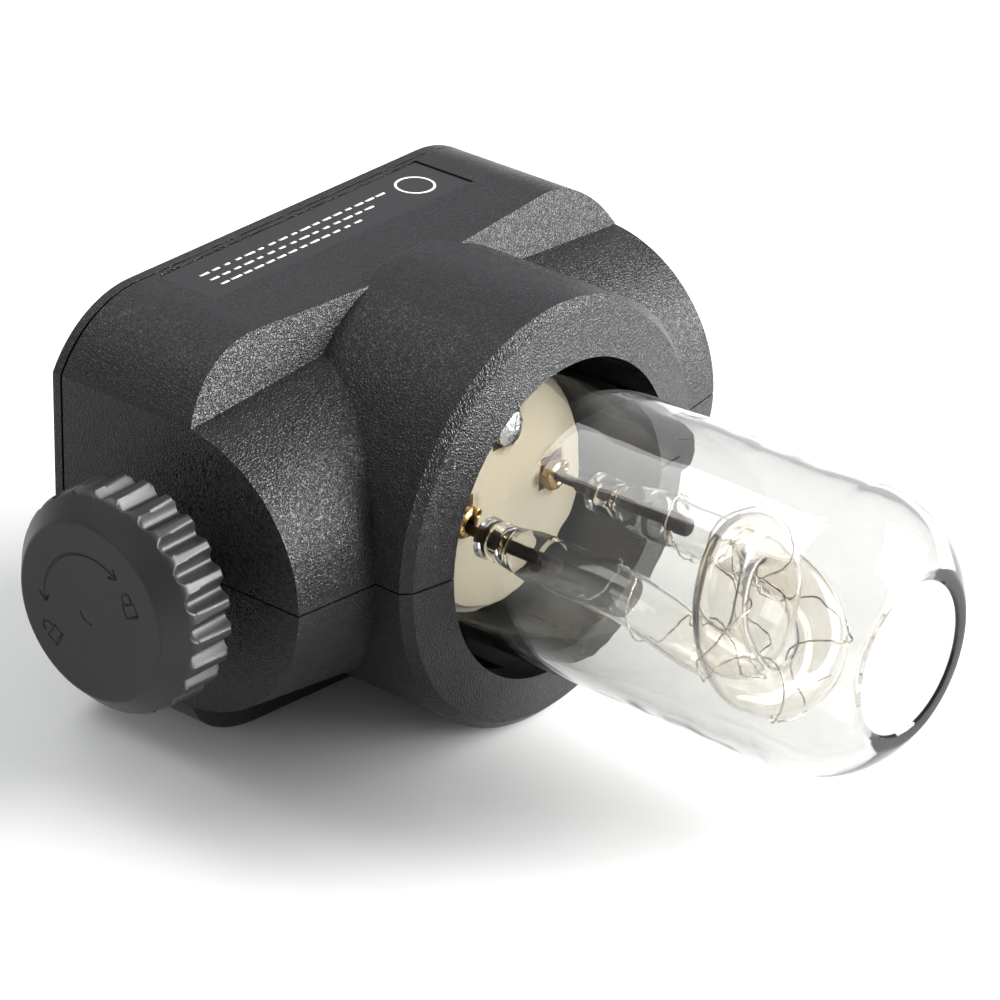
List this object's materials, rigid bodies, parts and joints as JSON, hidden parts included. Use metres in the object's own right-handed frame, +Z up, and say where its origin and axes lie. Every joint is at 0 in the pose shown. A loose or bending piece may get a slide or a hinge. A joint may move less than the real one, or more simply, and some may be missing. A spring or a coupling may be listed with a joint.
{
  "type": "bare-bulb flash head",
  "caption": "Plug-in flash head with a black clamshell housing, round reflector ring, side clamp knob and a spiral flash tube under an open glass dome.",
  "frame": {"origin": "centre of the reflector mouth, on the lamp axis, in the plane of the ring's rim", "axes": "+Z up, -Y the way the lamp shines, +Y back to the rear plate, -X towards the clamp knob"},
  "size_m": [0.0895, 0.0985, 0.0524],
  "materials": {
    "shell": "fine leather-like moulded grain",
    "rear_cover": "fine moulded grain",
    "label": "smooth printed film",
    "steel": "pressed and plated",
    "screw_steel": "blackened",
    "contact_metal": "gold plated",
    "connector_plastic": "moulded",
    "sleeve_plastic": "moulded, glass filled",
    "socket_ceramic": "unglazed",
    "base_ceramic": "dense, slightly stained",
    "brass": "turned",
    "dome_glass": "clear, fire polished rim",
    "tube_quartz": "clear quartz, faint warm tint",
    "cement": "set cement",
    "tungsten": "dark, sintered",
    "solder": "bright solder",
    "nickel_wire": "drawn",
    "knob_plastic": "satin moulded",
    "pad_rubber": "moulded",
    "board": "solder mask",
    "winding": "varnished wire and tape",
    "capacitor_case": "dipped",
    "wire_jacket": "silicone"
  },
  "bodies": {
    "housing": {"upper_shell": "shell", "lower_shell": "shell", "rear_plate": "rear_cover", "label_plate": "label", "hook_rails": "steel", "rail_screws": "screw_steel", "rear_screws": "screw_steel", "case_screws": "screw_steel", "connector_block": "connector_plastic", "power_blades": "contact_metal", "signal_pins": "contact_metal", "guide_sleeve": "sleeve_plastic", "lamp_socket": "socket_ceramic", "socket_contacts": "brass", "socket_screws": "screw_steel", "trigger_board": "board", "board_screws": "screw_steel", "trigger_transformer": "winding", "trigger_capacitor": "capacitor_case", "power_leads": "wire_jacket", "trigger_lead": "wire_jacket", "clamp_bush": "brass"},
    "lamp": {"ceramic_base": "base_ceramic", "base_pins": "brass", "glass_dome": "dome_glass", "cement_ring": "cement", "tube_glass": "tube_quartz", "electrodes": "tungsten", "tube_eyelets": "brass", "trigger_terminal": "solder", "trigger_wire": "nickel_wire"},
    "pad": {"clamp_pad": "pad_rubber"},
    "knob": {"clamp_knob": "knob_plastic", "clamp_screw": "steel", "pad_clip": "steel"}
  },
  "joints": [
    {"name": "lamp_pull", "type": "slide", "parent": "housing", "child": "lamp", "axis": [0, -1, 0], "range_m": [0, 0.03]},
    {"name": "pad_slide", "type": "slide", "parent": "housing", "child": "pad", "axis": [1, 0, 0], "range_m": [0, 0.002]},
    {"name": "knob_turn", "type": "hinge", "parent": "pad", "child": "knob", "pos_m": [-0.0433, 0.0235, 0], "axis": [1, 0, 0], "range_deg": [0, 720]}
  ],
  "couplings": [
    {"joint": "knob_turn", "follows": "pad_slide", "rad_per_m": 6283.2}
  ]
}
